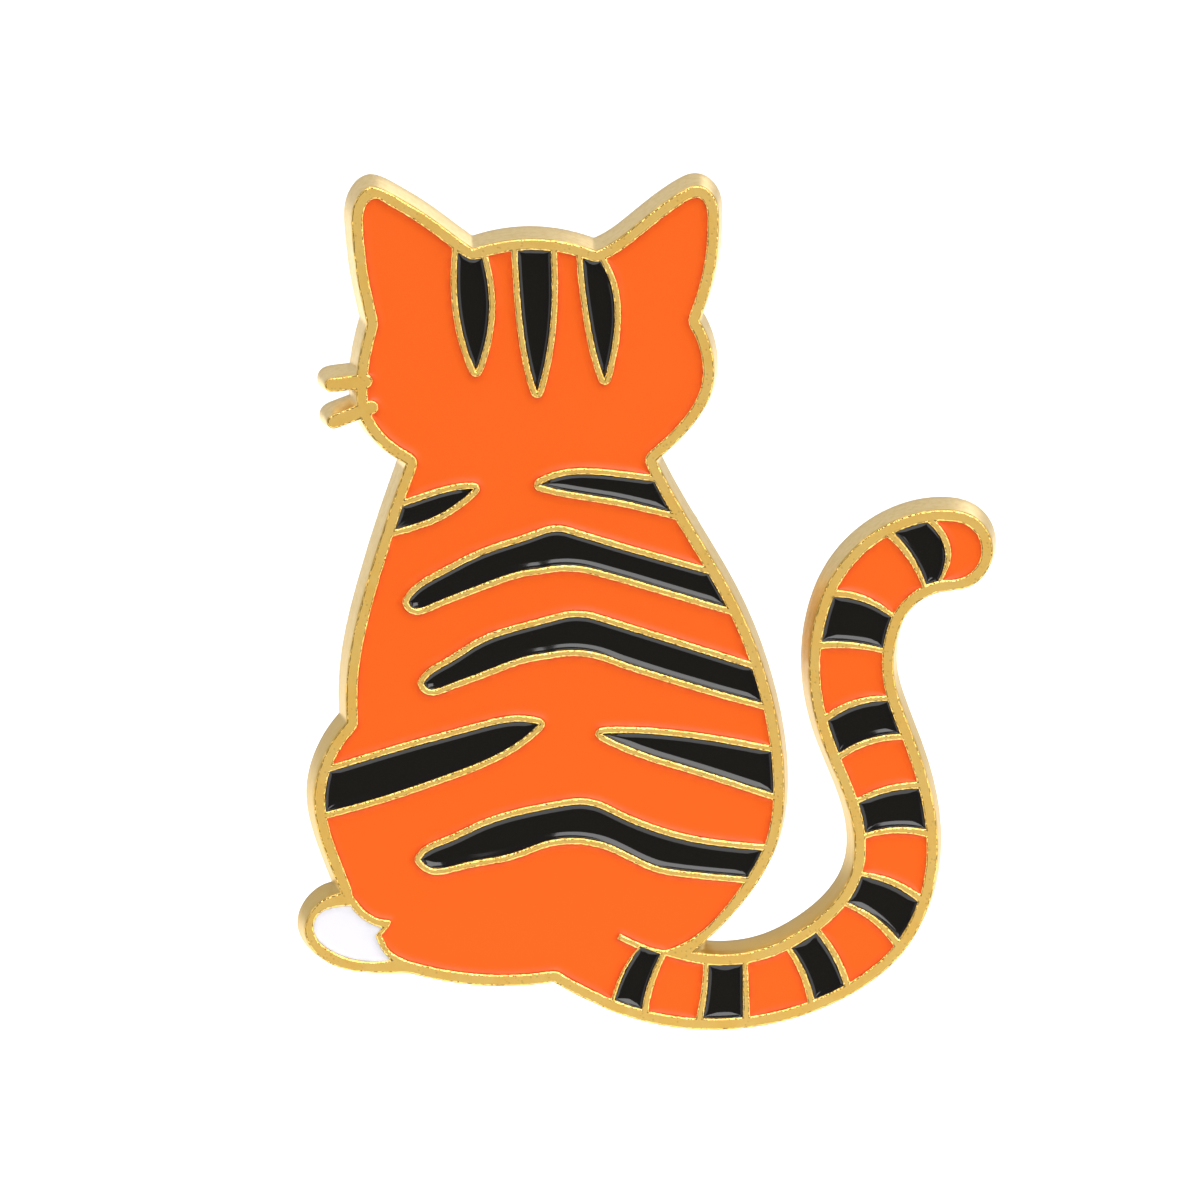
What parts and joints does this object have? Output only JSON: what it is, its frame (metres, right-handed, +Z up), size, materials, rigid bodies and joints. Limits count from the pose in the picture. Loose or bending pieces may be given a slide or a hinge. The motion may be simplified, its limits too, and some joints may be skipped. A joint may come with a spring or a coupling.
{
  "type": "enamel pin",
  "caption": "Soft-enamel lapel pin in the shape of a sitting tabby cat seen from behind, gold-plated raised lines, with a soldered post and a butterfly clutch.",
  "frame": {"origin": "where the axis of the post meets the flat back face of the plate", "axes": "+Z up as the pin is worn, +Y out of the back along the post into the cloth, -Y out of the enamel side, +X to the right seen from the enamel side"},
  "size_m": [0.0241, 0.0099, 0.03],
  "materials": {
    "gold_plate": "satin gold plate on a struck metal body",
    "orange_enamel": "satin soft enamel",
    "black_enamel": "glossy soft enamel",
    "white_enamel": "satin soft enamel",
    "post_metal": "gold plate",
    "solder": "plated solder",
    "clutch_brass": "bright plated brass sheet"
  },
  "bodies": {
    "pin": {"black_flank_left_enamel": "black_enamel", "black_flank_right_enamel": "black_enamel", "black_head_left_enamel": "black_enamel", "black_head_middle_enamel": "black_enamel", "black_head_right_enamel": "black_enamel", "black_lower_back_enamel": "black_enamel", "black_middle_back_enamel": "black_enamel", "black_neck_left_enamel": "black_enamel", "black_neck_right_enamel": "black_enamel", "black_tail_1_enamel": "black_enamel", "black_tail_2_enamel": "black_enamel", "black_tail_3_enamel": "black_enamel", "black_tail_4_enamel": "black_enamel", "black_tail_5_enamel": "black_enamel", "black_tail_6_enamel": "black_enamel", "black_tail_7_enamel": "black_enamel", "black_tail_8_enamel": "black_enamel", "black_upper_back_enamel": "black_enamel", "orange_body_enamel": "orange_enamel", "orange_tail_1_enamel": "orange_enamel", "orange_tail_2_enamel": "orange_enamel", "orange_tail_3_enamel": "orange_enamel", "orange_tail_4_enamel": "orange_enamel", "orange_tail_5_enamel": "orange_enamel", "orange_tail_6_enamel": "orange_enamel", "orange_tail_7_enamel": "orange_enamel", "orange_tail_8_enamel": "orange_enamel", "white_foot_enamel": "white_enamel", "metal_body": "gold_plate", "post": "post_metal", "solder_ring": "solder"},
    "cup": {"clutch_disc": "clutch_brass"},
    "clip": {"clutch_clip": "clutch_brass"},
    "left_wing": {"left_wing": "clutch_brass"},
    "right_wing": {"right_wing": "clutch_brass"}
  },
  "joints": [
    {"name": "clutch_slide", "type": "slide", "parent": "pin", "child": "cup", "axis": [0, 1, 0], "range_m": [-0.0035, 0.01]},
    {"name": "clutch_turn", "type": "hinge", "parent": "cup", "child": "clip", "pos_m": [0, 0.00408, 0], "axis": [0, 1, 0], "continuous": true},
    {"name": "left_wing_pinch", "type": "hinge", "parent": "clip", "child": "left_wing", "pos_m": [-0.00235, 0.00515, 0], "axis": [0, 0, -1], "range_deg": [0, 10], "stiffness_Nm_per_rad": 0.01},
    {"name": "right_wing_pinch", "type": "hinge", "parent": "clip", "child": "right_wing", "pos_m": [0.00235, 0.00515, 0], "axis": [0, 0, 1], "range_deg": [0, 10]}
  ],
  "couplings": [
    {"joint": "right_wing_pinch", "follows": "left_wing_pinch", "ratio": 1}
  ]
}
